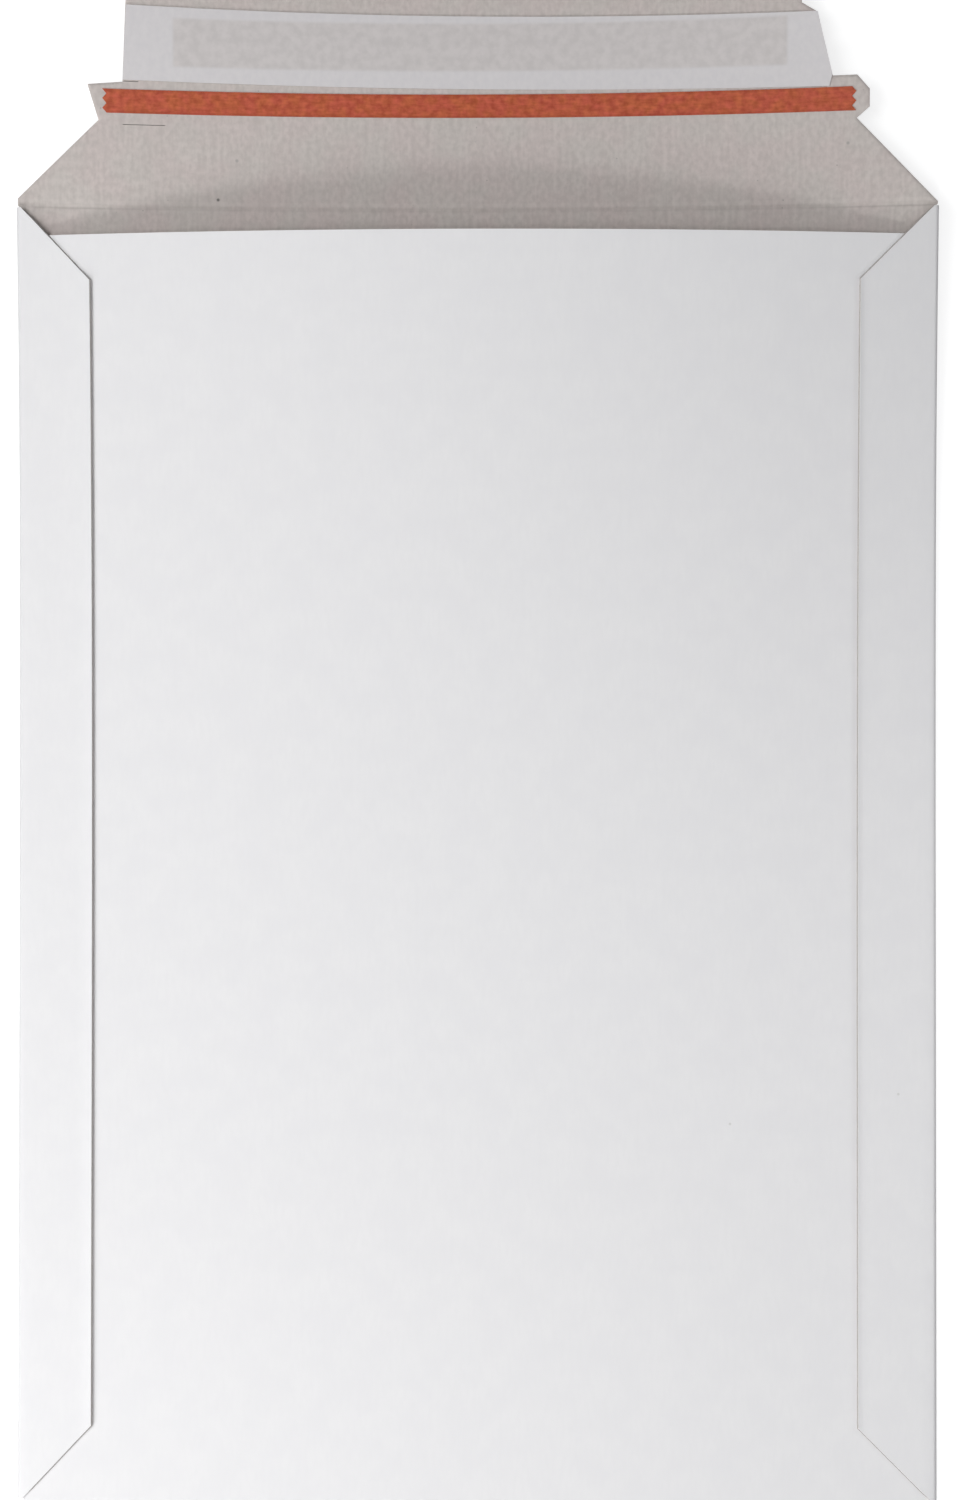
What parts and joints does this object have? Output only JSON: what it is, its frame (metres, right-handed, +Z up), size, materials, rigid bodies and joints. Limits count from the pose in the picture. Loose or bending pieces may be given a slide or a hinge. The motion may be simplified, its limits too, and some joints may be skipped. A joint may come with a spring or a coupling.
{
  "type": "cardboard envelope",
  "caption": "Rigid white-lined board mailing envelope lying seam side up, mouth ajar, with its closing flap open to show a tear tape and an adhesive strip under its release liner.",
  "frame": {"origin": "middle of the envelope's length and width, on the surface that its address panel lies on", "axes": "+Y from the bottom fold towards the closing flap, +Z up out of the seam side, +X to the right"},
  "size_m": [0.25, 0.4122, 0.0158],
  "materials": {
    "board": "solid board, smooth white outside and uncoated grey inside",
    "seam_glue": "thin cured glue film",
    "tear_tape": "satin film with pinked ends",
    "adhesive": "tacky adhesive film",
    "release_liner": "silicone-coated paper, slightly see-through"
  },
  "bodies": {
    "root": {"folded_board": "board", "left_seam_glue": "seam_glue", "right_seam_glue": "seam_glue", "tear_tape": "tear_tape", "adhesive_strip": "adhesive", "release_liner": "release_liner"}
  },
  "joints": []
}
